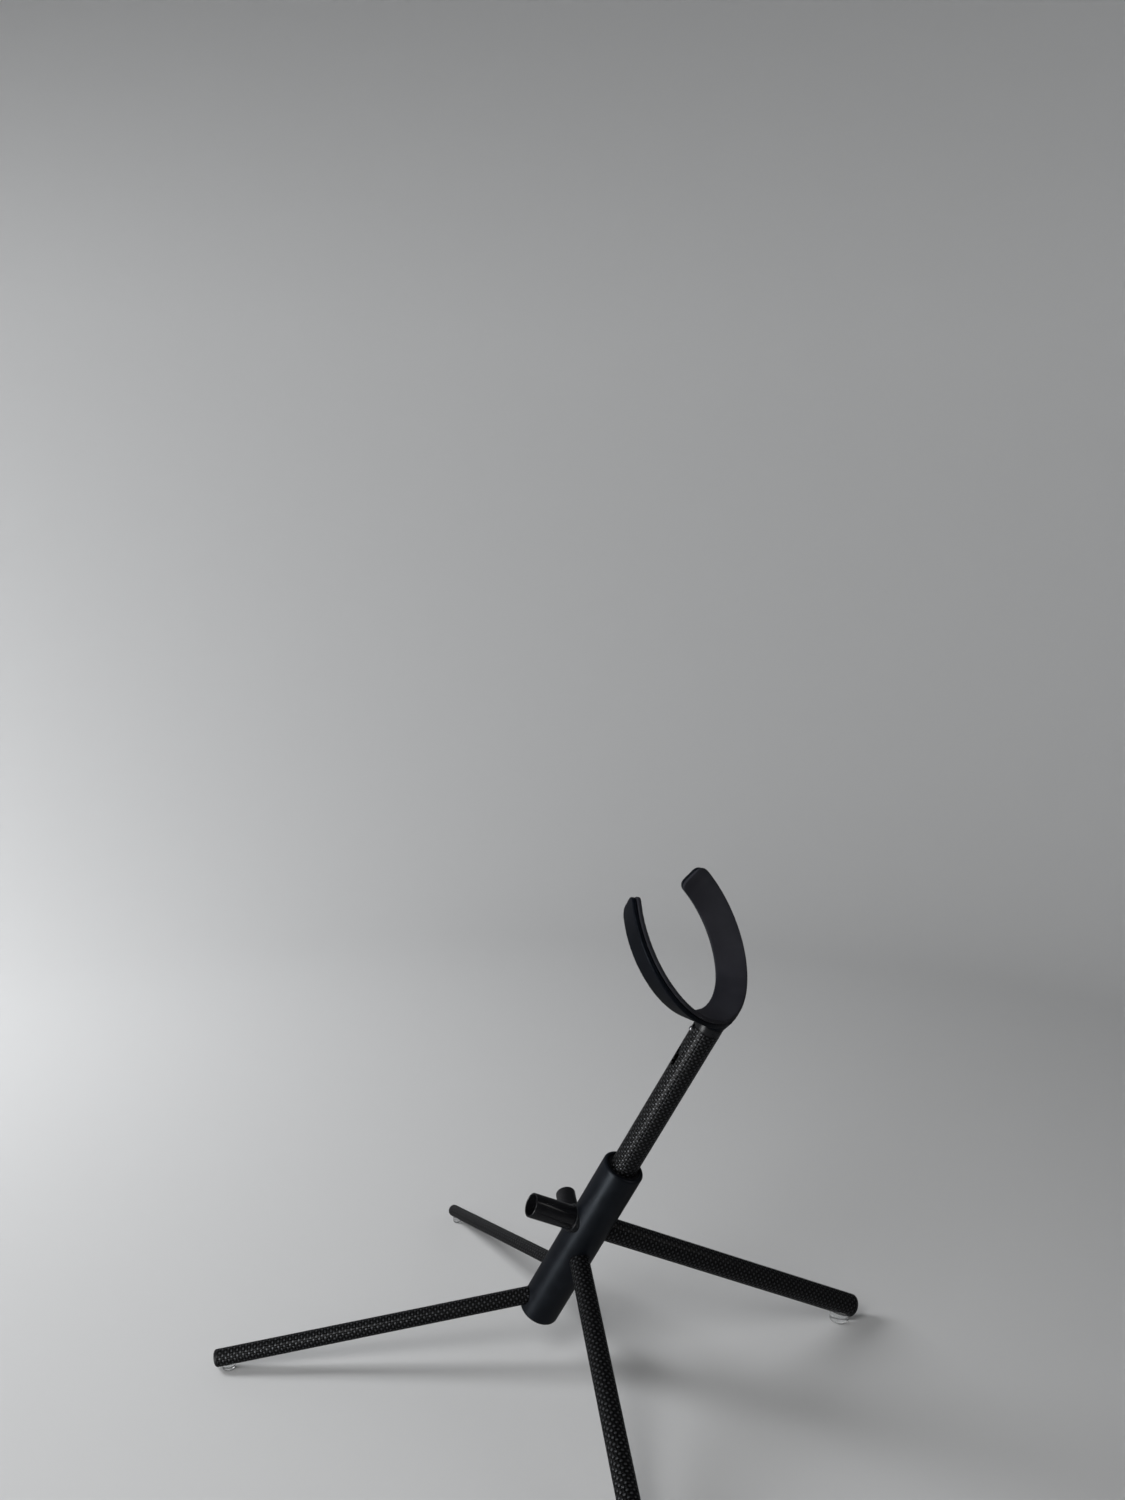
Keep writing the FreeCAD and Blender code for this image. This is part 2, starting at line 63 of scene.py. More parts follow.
# %% [markdown]
# ## Measuring a round piece
# A turned piece is known once its axis, its two ends and its radius are known. The direction of the axis is
# in the record, since a tube slides or turns along its own line. The rest could be typed in, but it would be
# wrong as soon as the model changed. So it is read from the loaded mesh: its points are laid out across the
# axis, and the middle of their extent is where the axis passes.
# %% Measure a round piece


def square_to(axis):
    """Two unit vectors square to the axis and to each other; the second is as level as it can be."""
    axis = np.asarray(axis, float) / np.linalg.norm(axis)
    level = np.cross([0.0, 0.0, 1.0], axis)
    level = np.array([1.0, 0.0, 0.0]) if np.linalg.norm(level) < 1e-6 else level / np.linalg.norm(level)
    return np.cross(level, axis), level


def points_of(node):
    """All mesh points of a CAD node as an (n, 3) array."""
    mesh = frame["nodes"][node].data
    flat = np.empty(len(mesh.vertices) * 3)
    mesh.vertices.foreach_get("co", flat)
    return flat.reshape(-1, 3)


class Round:
    """A turned piece's own frame: foot on the axis, unit vectors (across, level, axis), length and radii."""

    def __init__(self, node, axis):
        self.axis = np.asarray(axis, float) / np.linalg.norm(axis)
        self.across, self.level = square_to(self.axis)
        points = points_of(node)
        on_across = points @ self.across
        on_level = points @ self.level
        along = points @ self.axis
        centre = (on_across.min() + on_across.max()) / 2, (on_level.min() + on_level.max()) / 2
        self.foot = centre[0] * self.across + centre[1] * self.level + along.min() * self.axis
        self.length = along.max() - along.min()
        radius = np.hypot(on_across - centre[0], on_level - centre[1])
        self.outer = radius.max()
        self.inner = radius.min()

    def place(self, local):
        """Points given as (across, level, along) put into the world."""
        return self.foot + local @ np.stack([self.across, self.level, self.axis])


print("mast radius", round(Round("mast_tube", LEAN).outer * 1000, 2), "mm")

# %% [markdown]
# ## Outlines with rounded corners
# Every turned piece starts as an outline, half of its cross-section. No real edge is perfectly sharp, and the
# thin highlight on a rounded edge is what makes it look real. A Bevel modifier could round the edges later,
# but here each corner of the outline is replaced by a short arc, which costs nothing and has an exact radius.
# %% Rounded outlines


def rounded(points, radii, steps=5, closed=False):
    """An outline with its corners rounded.

    A corner of radius r becomes an arc that leaves each side at r / tan(half the corner's angle) from it.
    Points along the arc are the two ends' directions blended by the sines of their shares of the turn."""
    points = [np.asarray(point, float) for point in points]
    count = len(points)
    out = []
    for index, (corner, radius) in enumerate(zip(points, radii)):
        if radius <= 0 or (not closed and index in (0, count - 1)):
            out.append(corner)
            continue
        before = points[index - 1] - corner
        after = points[(index + 1) % count] - corner
        before /= np.linalg.norm(before)
        after /= np.linalg.norm(after)
        half = math.acos(np.clip(before @ after, -1, 1)) / 2
        centre = corner + (before + after) / np.linalg.norm(before + after) * radius / math.sin(half)
        first = corner + before * radius / math.tan(half) - centre
        last = corner + after * radius / math.tan(half) - centre
        turn = math.pi - 2 * half
        for share in np.linspace(0, 1, steps):
            out.append(centre + (first * math.sin((1 - share) * turn) + last * math.sin(share * turn))
                       / math.sin(turn))
    return np.array(out)


one_corner = rounded([(1, 0), (0, 0), (0, 1)], [0, 0.2, 0])
print("a rounded corner is an arc of", len(one_corner) - 2, "points")

# %% [markdown]
# ## From points to an object
# Blender keeps a shape in a mesh and puts the mesh in the scene through an object. The points here are
# already in world place, so the object stays at the origin, unturned and unscaled. A closed piece has its
# faces turned outwards at the end, which is easier than watching the order of every face's corners.
# %% New mesh objects


def new_piece(name, points, faces, uv=None, material=None):
    """A mesh object at the origin from points, faces and, if given, one UV pair per face corner."""
    mesh = bpy.data.meshes.new(name)
    mesh.from_pydata(points.tolist(), [], [list(face) for face in faces])
    if uv is not None:
        layer = mesh.uv_layers.new(name="surface")
        layer.data.foreach_set("uv", np.asarray(uv, float).ravel())
    mesh.shade_smooth()
    piece = bpy.data.objects.new(name, mesh)
    bpy.context.scene.collection.objects.link(piece)
    if material:
        mesh.materials.append(material)
    return piece


def outwards(piece):
    """Turn every face of a closed piece to point outwards."""
    work = bmesh.new()
    work.from_mesh(piece.data)
    bmesh.ops.recalc_face_normals(work, faces=work.faces)
    work.to_mesh(piece.data)
    work.free()


print("new pieces go in", bpy.context.scene.collection.name)

# %% [markdown]
# ## Turned pieces
# A lathe, a mould and a drawn tube all make the same kind of shape: an outline carried round an axis. The
# Screw modifier does that too, but it leaves no say over the UV map. Here ring after ring of points is worked
# out as one array, and the UV map counts widths of carbon tow, so a weave laid on it closes round the tube.
# %% Turned pieces
SHARP_TURNED = 38


def turned(name, outline, shape, around=96, closed=False, tow=MM, material=None):
    """A turned piece: ring k of the grid is the outline's point (radius, along) at equal angles.

    A point on the axis becomes one vertex, so the pole is closed. The UV map counts widths of tow: round the
    piece, where a whole number of two-tow repeats fits the girth, and along the outline's own length."""
    outline = np.asarray(outline, float)
    repeats = max(1, round(2 * np.pi * shape.outer / (2 * tow)))
    tow = 2 * np.pi * shape.outer / (2 * repeats)
    angles = np.linspace(0, 2 * np.pi, around, endpoint=False)
    circle = np.stack([np.cos(angles), np.sin(angles)], axis=1)
    whole = outline[:, 0] > 1e-9
    first = np.r_[0, np.cumsum(np.where(whole, around, 1))]
    points = np.vstack([np.c_[circle * radius, np.full(around, along)] if radius > 1e-9 else [[0, 0, along]]
                        for radius, along in outline])
    steps = np.diff(np.vstack([outline, outline[:1]]), axis=0)
    travelled = np.r_[0, np.cumsum(np.linalg.norm(steps, axis=1))]
    here = np.arange(around)
    ahead = (here + 1) % around
    u_here, u_ahead = here * 2 * repeats / around, (here + 1) * 2 * repeats / around
    faces, uv = [], []
    for ring in range(len(outline) if closed else len(outline) - 1):
        other = (ring + 1) % len(outline)
        v_low, v_high = travelled[ring] / tow, travelled[ring + 1] / tow
        corners = [(first[ring] + ahead * whole[ring], u_ahead, v_low),
                   (first[ring] + here * whole[ring], u_here, v_low),
                   (first[other] + here * whole[other], u_here, v_high),
                   (first[other] + ahead * whole[other], u_ahead, v_high)]
        if not whole[ring]:
            corners.pop(0)
        if not whole[other]:
            corners.pop()
        faces += np.stack([corner[0] for corner in corners], axis=1).tolist()
        pairs = [np.stack([u, np.full(around, v)], axis=1) for _, u, v in corners]
        uv.append(np.stack(pairs, axis=1).reshape(-1, 2))
    piece = new_piece(name, shape.place(points), faces, np.vstack(uv), material)
    outwards(piece)
    piece.data.set_sharp_from_angle(angle=math.radians(SHARP_TURNED))
    return piece


print("turned pieces have corners sharper than", SHARP_TURNED, "degrees kept sharp")

# %% [markdown]
# ## Short names for shader nodes
# A finish is a tree of nodes, and most of its nodes are sums, noises, mixes and changes of range. Each could
# be placed and wired one by one, in many lines. A few helpers keep the finishes short enough to be read.
# %% Shader helpers


def group_of(name, inputs, outputs):
    """An empty node group with named sockets; inputs and outputs are (name, socket type, default)."""
    group = bpy.data.node_groups.new(name, "ShaderNodeTree")
    for label, kind, value in inputs:
        socket = group.interface.new_socket(label, in_out="INPUT", socket_type=kind)
        if value is not None:
            socket.default_value = value
    for label, kind in outputs:
        group.interface.new_socket(label, in_out="OUTPUT", socket_type=kind)
    return group, group.nodes.new("NodeGroupInput"), group.nodes.new("NodeGroupOutput")


class Sums:
    """Short-hand for Math nodes in one tree: sums.ADD(a, b) gives the output socket of a new node."""

    def __init__(self, tree):
        self.tree = tree

    def __getattr__(self, operation):
        def make(*values, clamp=False):
            node = self.tree.nodes.new("ShaderNodeMath")
            node.operation = operation
            node.use_clamp = clamp
            for socket, value in zip(node.inputs, values):
                if isinstance(value, (int, float)):
                    socket.default_value = value
                else:
                    self.tree.links.new(value, socket)
            return node.outputs[0]
        return make


def noise(tree, vector, scale, detail=4.0, roughness=0.5):
    """A noise texture's Factor on this vector."""
    node = tree.nodes.new("ShaderNodeTexNoise")
    node.inputs["Scale"].default_value = scale
    node.inputs["Detail"].default_value = detail
    node.inputs["Roughness"].default_value = roughness
    tree.links.new(vector, node.inputs["Vector"])
    return node.outputs["Fac"]


def mix_colour(tree, factor, first, second):
    """A colour that runs from first to second as factor goes from 0 to 1."""
    node = tree.nodes.new("ShaderNodeMix")
    node.data_type = "RGBA"
    for socket, value in ((node.inputs[0], factor), (node.inputs[6], first), (node.inputs[7], second)):
        if isinstance(value, tuple):
            socket.default_value = (*value, 1.0)
        elif isinstance(value, float):
            socket.default_value = value
        else:
            tree.links.new(value, socket)
    return node.outputs[2]


def remap(tree, value, low, high, to_low, to_high):
    """Value carried from the range low to high into the range to_low to to_high, and held inside it."""
    node = tree.nodes.new("ShaderNodeMapRange")
    for socket, number in zip(node.inputs[1:5], (low, high, to_low, to_high)):
        socket.default_value = number
    tree.links.new(value, node.inputs[0])
    return node.outputs[0]


print("shader helpers ready")

# %% [markdown]
# ## The moulded grain
# Plastic, rubber and coated metal are never quite even: a fine grain breaks up their highlights, and slow
# patches differ in gloss. An image texture would need a UV map on every piece, so this is made of noise on
# Object coordinates instead. Many finishes use it, so it is one node group, built once.
# %% The moulded grain
FINE_GRAIN, MIDDLE_GRAIN, SLOW_PATCHES = 5200.0, 1400.0, 70.0      # cells per metre


def make_grain_group():
    """Grain of a moulded or rubber surface: Height for a bump, and Patches, a slow change for roughness.

    Height is six tenths of a fine noise plus four tenths of one nearly four times as coarse."""
    group, entry, leave = group_of("moulded grain", [("Vector", "NodeSocketVector", None)],
                                   [("Height", "NodeSocketFloat"), ("Patches", "NodeSocketFloat")])
    fine = noise(group, entry.outputs["Vector"], FINE_GRAIN, 3.0, 0.6)
    middle = noise(group, entry.outputs["Vector"], MIDDLE_GRAIN, 2.0, 0.5)
    sums = Sums(group)
    group.links.new(sums.ADD(sums.MULTIPLY(fine, 0.6), sums.MULTIPLY(middle, 0.4)), leave.inputs["Height"])
    patches = noise(group, entry.outputs["Vector"], SLOW_PATCHES, 5.0, 0.6)
    group.links.new(patches, leave.inputs["Patches"])
    return group


GRAIN = make_grain_group()
print("node group:", GRAIN.name)

# %% [markdown]
# ## The plain weave
# The tubes are rolled from woven carbon cloth. In a plain weave the lengthwise and crosswise tows pass over
# one and under one, like a chessboard. Real threads would take millions of faces, so the weave is a height
# and a mask worked out from the UV map. It counts in widths of one tow, as the UV map of every tube does.
# %% The plain weave
TOW_FLATNESS = 0.4
STRANDS_ALONG, STRANDS_ACROSS = 0.6, 14.0


def make_weave_group():
    """Plain weave in tow units: Height of the tows, Warp where the lengthwise tow is on top, and Strands.

    The sum of the row and column numbers, taken modulo two, says which tow is on top. Its height is the sine
    of the place along the tow, which dives at both ends of its cell, times a flatter sine across the tow."""
    group, entry, leave = group_of("plain weave", [("Tows", "NodeSocketVector", None)],
                                   [("Height", "NodeSocketFloat"), ("Warp", "NodeSocketFloat"),
                                    ("Strands", "NodeSocketFloat")])
    sums = Sums(group)
    split = group.nodes.new("ShaderNodeSeparateXYZ")
    group.links.new(entry.outputs["Tows"], split.inputs[0])
    u, v = split.outputs[0], split.outputs[1]
    warp = sums.LESS_THAN(sums.FLOORED_MODULO(sums.ADD(sums.FLOOR(u), sums.FLOOR(v)), 2.0), 0.5)
    weft = sums.SUBTRACT(1.0, warp)
    hill_u = sums.SINE(sums.MULTIPLY(sums.FRACT(u), math.pi))
    hill_v = sums.SINE(sums.MULTIPLY(sums.FRACT(v), math.pi))

    def tow_height(along, across):
        """Height of one tow: the hill along it times a flattened hill across it."""
        return sums.MULTIPLY(along, sums.POWER(sums.MAXIMUM(across, 0.0001), TOW_FLATNESS))

    height = sums.ADD(sums.MULTIPLY(warp, tow_height(hill_v, hill_u)),
                      sums.MULTIPLY(weft, tow_height(hill_u, hill_v)))
    group.links.new(height, leave.inputs["Height"])
    group.links.new(warp, leave.inputs["Warp"])

    def strands(scale_u, scale_v):
        """Noise stretched along a tow, so that it reads as the strands in it."""
        stretch = group.nodes.new("ShaderNodeMapping")
        stretch.inputs["Scale"].default_value = (scale_u, scale_v, 1.0)
        group.links.new(entry.outputs["Tows"], stretch.inputs["Vector"])
        return noise(group, stretch.outputs[0], 1.0, 2.0, 0.6)

    lines = sums.ADD(sums.MULTIPLY(warp, strands(STRANDS_ACROSS, STRANDS_ALONG)),
                     sums.MULTIPLY(weft, strands(STRANDS_ALONG, STRANDS_ACROSS)))
    group.links.new(lines, leave.inputs["Strands"])
    return group


WEAVE = make_weave_group()
print("node group:", WEAVE.name)

# %% [markdown]
# ## Starting a finish
# Every finish is one Principled shader with plain values, and only what changes over the surface is wired
# in. These four short functions start a material, place a group in it, add a bump and give the point's place.
# %% Start a finish


def finish_of(name, colour, roughness, **sockets):
    """A new material: its Principled shader with plain values set on it, its tree and the shader node."""
    material = bpy.data.materials.new(name)
    material.use_nodes = True
    shader = material.node_tree.nodes["Principled BSDF"]
    shader.inputs["Base Color"].default_value = (*colour, 1.0)
    shader.inputs["Roughness"].default_value = roughness
    for label, value in sockets.items():
        shader.inputs[label.replace("_", " ")].default_value = value
    return material, material.node_tree, shader


def place_group(tree, group, vector):
    """A group node in this tree, fed with this vector."""
    node = tree.nodes.new("ShaderNodeGroup")
    node.node_tree = group
    tree.links.new(vector, node.inputs[0])
    return node


def add_bump(tree, shader, height, strength, distance):
    """Feed the shader's Normal from a height."""
    bump = tree.nodes.new("ShaderNodeBump")
    bump.inputs["Strength"].default_value = strength
    bump.inputs["Distance"].default_value = distance
    tree.links.new(height, bump.inputs["Height"])
    tree.links.new(bump.outputs[0], shader.inputs["Normal"])


def object_place(tree):
    """The point's place on the object, in metres."""
    return tree.nodes.new("ShaderNodeTexCoord").outputs["Object"]


print("finish helpers ready")

# %% [markdown]
# ## Carbon tube
# Cloth and clear resin make a tube that is black between the lights and shows small bright scales under
# them. A thick clear coat would give one smooth stripe, as on a polished tube. Here the resin follows the
# weave, so the shader's own gloss is broken by the bump, and only a thin, soft coat lies over it. The colour
# also holds a painted sheen, lighter on the lengthwise tows, and painted shade where the tows dive.
# %% Carbon tube


def carbon():
    """Woven carbon: a painted sheen makes lengthwise tows lighter than crosswise ones, painted shade darkens
    the tows where they dive, strands in both.
    """
    material, tree, shader = finish_of("carbon_cloth", (0.02, 0.02, 0.021), 0.27,
                                       Coat_Weight=0.2, Coat_Roughness=0.24, Coat_IOR=1.5)
    uv = tree.nodes.new("ShaderNodeUVMap")
    uv.uv_map = "surface"
    weave = place_group(tree, WEAVE, uv.outputs[0])
    height, warp, strands = (weave.outputs[label] for label in ("Height", "Warp", "Strands"))
    sums = Sums(tree)
    # Painted sheen: lengthwise tows get a much lighter colour than crosswise ones, mixed with the real strand
    # lines.
    painted_sheen_and_strands = sums.ADD(sums.MULTIPLY(warp, 0.7), sums.MULTIPLY(strands, 0.3))
    cloth_and_painted_sheen = mix_colour(tree, remap(tree, painted_sheen_and_strands, 0.15, 0.85, 0.0, 1.0),
                       (0.008, 0.008, 0.0085), (0.135, 0.139, 0.146))
    # Painted shade: the colour goes nearly black where the tows dive under each other, set by the tow height.
    shade = mix_colour(tree, remap(tree, height, 0.3, 0.95, 0.0, 1.0), (0.001, 0.001, 0.001), cloth_and_painted_sheen)
    tree.links.new(shade, shader.inputs["Base Color"])
    tree.links.new(remap(tree, strands, 0.3, 0.7, 0.24, 0.36), shader.inputs["Roughness"])
    tree.links.new(remap(tree, warp, 0.0, 1.0, 0.5, 0.8), shader.inputs["Metallic"])
    add_bump(tree, shader, sums.ADD(height, sums.MULTIPLY(strands, 0.15)), 1.0, 0.3 * MM)
    return material


CARBON = carbon()
print("finish:", CARBON.name)

# %% [markdown]
# ## Moulded plastic, rubber and steel
# Hub and cradle are a blue-black satin, pegs and collars glossier, bush, caps and joiners duller, and pin and
# screw are plain steel. They differ only in colour, gloss and grain, so one function makes them all. Two
# close colours are mixed by the slow patches, because one flat colour looks like a drawing.
# %% Moulded and metal finishes
GRAIN_DEPTH = 0.05 * MM
BLUE_GLOSS = (0.80, 0.89, 1.0, 1.0)


def moulded(name, colour, light_colour, roughness, bump, **sockets):
    """A moulded finish: grain in the bump, and slow patches in colour and roughness."""
    material, tree, shader = finish_of(name, colour, roughness, **sockets)
    grain = place_group(tree, GRAIN, object_place(tree))
    patches = grain.outputs["Patches"]
    tree.links.new(mix_colour(tree, remap(tree, patches, 0.35, 0.7, 0.0, 1.0), colour, light_colour),
                   shader.inputs["Base Color"])
    tree.links.new(remap(tree, patches, 0.3, 0.7, roughness - 0.05, roughness + 0.06),
                   shader.inputs["Roughness"])
    add_bump(tree, shader, grain.outputs["Height"], bump, GRAIN_DEPTH)
    return material


HUB_BLACK = moulded("hub_satin", (0.003, 0.0036, 0.005), (0.0055, 0.0065, 0.009), 0.35, 0.16,
                    Specular_Tint=BLUE_GLOSS)
BUSH_BLACK = moulded("bush_plastic", (0.006, 0.006, 0.007), (0.010, 0.010, 0.011), 0.45, 0.12)
STEM_BLACK = moulded("stem_satin", (0.010, 0.0105, 0.0115), (0.015, 0.0155, 0.017), 0.30, 0.06)
CRADLE_BLACK = moulded("cradle_satin", (0.0020, 0.0026, 0.0042), (0.0045, 0.0055, 0.0085), 0.36, 0.10,
                       Specular_IOR_Level=0.24, Specular_Tint=BLUE_GLOSS)
LINER_GREY = moulded("liner_rubber", (0.016, 0.016, 0.021), (0.024, 0.024, 0.030), 0.62, 0.25,
                     Specular_IOR_Level=0.35)
CAP_BLACK = moulded("cap_satin", (0.010, 0.010, 0.011), (0.017, 0.017, 0.018), 0.42, 0.14)
PEG_BLACK = moulded("peg_gloss", (0.005, 0.005, 0.006), (0.009, 0.009, 0.010), 0.20, 0.04, Coat_Weight=0.6,
                    Coat_Roughness=0.08)
COLLAR_BLACK = moulded("collar_gloss", (0.009, 0.010, 0.011), (0.014, 0.015, 0.017), 0.26, 0.05)
JOINER_BLACK = moulded("joiner_matte", (0.012, 0.012, 0.012), (0.020, 0.020, 0.020), 0.55, 0.14)
RING_RUBBER = moulded("ring_rubber", (0.010, 0.010, 0.010), (0.018, 0.018, 0.018), 0.55, 0.18)
PIN_STEEL = moulded("pin_polished", (0.82, 0.82, 0.84), (0.90, 0.90, 0.91), 0.30, 0.02, Metallic=1.0)
SCREW_STEEL = moulded("screw_plain", (0.42, 0.42, 0.44), (0.52, 0.52, 0.53), 0.34, 0.10, Metallic=1.0)
print(len(bpy.data.materials), "finishes so far")

# %% [markdown]
# ## Clear silicone
# The bumpers under the leg ends are clear and soft. Transparency alone would look like a hole, so light is
# bent as it passes through, and a slow noise makes the surface a little uneven.
# %% Clear silicone


def clear_silicone():
    """Clear soft bumper: nearly all light passes through, and slow noise changes the roughness."""
    material, tree, shader = finish_of("bumper_clear", (0.93, 0.94, 0.94), 0.12, Transmission_Weight=0.9,
                                       IOR=1.41)
    patches = noise(tree, object_place(tree), 220.0, 3.0, 0.5)
    tree.links.new(remap(tree, patches, 0.3, 0.7, 0.08, 0.22), shader.inputs["Roughness"])
    return material


BUMPER_CLEAR = clear_silicone()
print("finish:", BUMPER_CLEAR.name)

# %% [markdown]
# ## Tubes
# A cylinder with a Solidify modifier makes a tube, but its ends stay sharp. Here the outline of a tube is a
# closed loop: out, up, in and down, with a small round on its four edges. Each new piece is then attached to
# the body it moves with, and the node of the imported model that it stands for is hidden.
# %% Tubes
TUBE_WALL = 1.0 * MM
TUBE_EDGE = 0.2 * MM
TOW = 1.8 * MM


def tube(name, node, axis, material, wall=TUBE_WALL, edge=TUBE_EDGE, tow=TOW, around=112):
    """A tube that fills a CAD tube's space: a rounded rectangle, thick as the wall, turned about the axis."""
    shape = Round(node, axis)
    outline = rounded([(shape.outer, 0), (shape.outer, shape.length), (shape.outer - wall, shape.length),
                       (shape.outer - wall, 0)], [edge] * 4, steps=4, closed=True)
    return turned(name, outline, shape, around, closed=True, tow=tow, material=material)


def settle(piece, body, node):
    """Attach a piece to the body it moves with, and hide the CAD node it stands for."""
    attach(piece, body)
    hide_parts(node)


for leg in LEGS:
    leg_tube = tube(leg + "_tube", leg + "_leg", LEG_AXIS[leg], CARBON)
    settle(leg_tube, leg, leg + "_leg")
    print(leg_tube.name, round(Round(leg + "_leg", LEG_AXIS[leg]).length / MM, 1), "mm long")

# %% [markdown]
# ## End caps
# A cap is a plug with a rounded head that closes the outer end of a leg. It is a solid, so its outline starts
# and ends on the axis, and the head gets a much larger round than the rest.
# %% End caps
CAP_HEAD = 2.2 * MM
CAP_ROUND = 1.6 * MM
for leg in LEGS:
    cap_shape = Round(leg + "_cap", LEG_AXIS[leg])
    spigot = cap_shape.outer - TUBE_WALL
    neck = cap_shape.length - CAP_HEAD
    outline = rounded([(0, 0), (spigot, 0), (spigot, neck), (cap_shape.outer, neck),
                       (cap_shape.outer, cap_shape.length), (0, cap_shape.length)],
                      [0, 0.5 * MM, 0, 0.25 * MM, CAP_ROUND, 0], steps=9)
    cap = turned(leg + "_end_cap", outline, cap_shape, 80, material=CAP_BLACK)
    settle(cap, leg, leg + "_cap")
print(len(LEGS), "end caps")

# %% [markdown]
# ## Pegs and their joiners
# The two rear legs run through the hub and come out in front as short open pegs, which carry the bow of the
# instrument. A peg is its own plastic tube, held to the leg by a hollow joiner inside both. The same tube
# function makes them. The peg's mouth is rounder, because it is seen from close by and must not scratch.
# %% Pegs and their joiners
PEG_LEGS = ["rear_left", "rear_right"]
PEG_EDGE = 0.45 * MM
JOINER_WALL, JOINER_EDGE = 1.2 * MM, 0.3 * MM
for leg in PEG_LEGS:
    peg = tube(leg + "_rest_peg", leg + "_peg", LEG_AXIS[leg], PEG_BLACK, edge=PEG_EDGE, tow=MM)
    settle(peg, leg, leg + "_peg")
    joiner = tube(leg + "_peg_joiner", leg + "_joiner", LEG_AXIS[leg], JOINER_BLACK, wall=JOINER_WALL,
                  edge=JOINER_EDGE, tow=MM)
    settle(joiner, leg, leg + "_joiner")
    print(peg.name, "and", joiner.name)

# %% [markdown]
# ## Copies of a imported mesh
# The hub and the mast have holes that cross them, so a turned grid can't make them. Boolean modifiers could
# cut the holes again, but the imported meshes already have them, exactly. So these pieces start as a copy with
# the triangles' shared corners joined.
# %% Merged copies
MERGE_WITHIN = 0.001 * MM


def corners_of(mesh):
    """Vertex positions (n, 3) and the three vertex numbers of each triangle (m, 3)."""
    spots = np.empty(len(mesh.vertices) * 3)
    mesh.vertices.foreach_get("co", spots)
    corners = np.empty(len(mesh.loops), np.int32)
    mesh.loops.foreach_get("vertex_index", corners)
    return spots.reshape(-1, 3), corners.reshape(-1, 3)


def merged_copy(name, node, material):
    """A copy of a CAD node's mesh as a new piece, with the triangles' shared corners joined."""
    mesh = frame["nodes"][node].data.copy()
    mesh.name = name
    mesh.materials.clear()
    mesh.materials.append(material)
    work = bmesh.new()
    work.from_mesh(mesh)
    bmesh.ops.remove_doubles(work, verts=work.verts, dist=MERGE_WITHIN)
    work.to_mesh(mesh)
    work.free()
    piece = bpy.data.objects.new(name, mesh)
    bpy.context.scene.collection.objects.link(piece)
    return piece


print("corners closer than", MERGE_WITHIN / MM, "mm are joined")

# %% [markdown]
# ## True round shading
# A merged copy is exact but faceted, and plain smooth shading smears its highlights wherever a long thin
# triangle meets a hole. A finer mesh would help a little. It is simpler to tell each corner of a round wall
# the normal of the real cylinder, so a highlight runs along the wall without a step.
# %% Round shading
LINES = [(LEAN_FOOT, LEAN)] + [(Round(leg + "_leg", LEG_AXIS[leg]).foot, LEG_AXIS[leg]) for leg in LEGS]
SHARP_COPIED = 35
SAME_RADIUS = 0.03 * MM


def round_shading(piece, lines):
    """Give the corners of round walls the true normal.

    A triangle lies on a cylinder about a line when its corners are equally far from that line and it faces
    along that distance. The normal at a corner is then the unit vector straight away from the line."""
    mesh = piece.data
    mesh.shade_smooth()
    mesh.set_sharp_from_angle(angle=math.radians(SHARP_COPIED))
    spots, triangles = corners_of(mesh)
    normals = np.empty(len(mesh.loops) * 3)
    mesh.corner_normals.foreach_get("vector", normals)
    normals = normals.reshape(-1, 3, 3)
    first, second, third = (spots[triangles[:, corner]] for corner in range(3))
    facing = np.cross(second - first, third - first)
    facing /= np.maximum(np.linalg.norm(facing, axis=1), 1e-18)[:, None]
    for foot, axis in lines:
        away = spots - foot
        away -= np.outer(away @ axis, axis)
        radius = np.linalg.norm(away, axis=1)
        straight = (away / np.maximum(radius, 1e-9)[:, None])[triangles]
        agree = np.einsum("nk,nk->n", facing, straight.mean(axis=1))
        on = (np.ptp(radius[triangles], axis=1) < SAME_RADIUS) & (np.abs(agree) > 0.9)
        normals[on] = straight[on] * np.sign(agree[on])[:, None, None]
    mesh.normals_split_custom_set(normals.reshape(-1, 3).tolist())


print(len(LINES), "centre lines of round walls")

# %% [markdown]
# ## Mast
# The mast is a carbon tube with a notch in its rim, a slot in its wall and a plain foot that stands in the
# hub. The copied mesh has no UV map, so one is worked out from the angle about the axis and the distance
# along it, in widths of tow. An unwrap would cut the weave at a seam; this one closes, because a whole
# number of repeats goes round.
# %% Mast


def wrap_uv(piece, foot, axis, radius, tow):
    """UV in tows: the angle about the axis times a whole number of two-tow repeats, and the distance along.

    A triangle that crosses the place where the angle starts again has its low corners moved up one turn."""
    spots, triangles = corners_of(piece.data)
    across, level = square_to(axis)
    apart = spots - foot
    turn = (np.arctan2(apart @ level, apart @ across) / (2 * np.pi))[triangles]
    turn += (turn.max(axis=1, keepdims=True) - turn > 0.5)
    repeats = round(2 * np.pi * radius / (2 * tow))
    uv = np.stack([turn * 2 * repeats, (apart @ axis)[triangles] * repeats / (np.pi * radius)], axis=2)
    piece.data.uv_layers.new(name="surface").data.foreach_set("uv", uv.ravel())


mast = merged_copy("mast", "mast_tube", CARBON)
round_shading(mast, LINES[:1])
mast_shape = Round("mast_tube", LEAN)
wrap_uv(mast, mast_shape.foot, LEAN, mast_shape.outer, TOW)
settle(mast, "mast", "mast_tube")
print("mast", round(mast_shape.length / MM, 1), "mm long")

# %% [markdown]
# ## Hub
# The hub is one solid bar that leans back, bored for the mast and for the four legs. Its bores cross its
# round side in curves that no grid follows, so it is a merged copy, shaded about all five centre lines.
# %% Hub
hub = merged_copy("hub_block", "hub", HUB_BLACK)
round_shading(hub, LINES)
settle(hub, "hub", "hub")
print("hub", len(hub.data.polygons), "triangles")

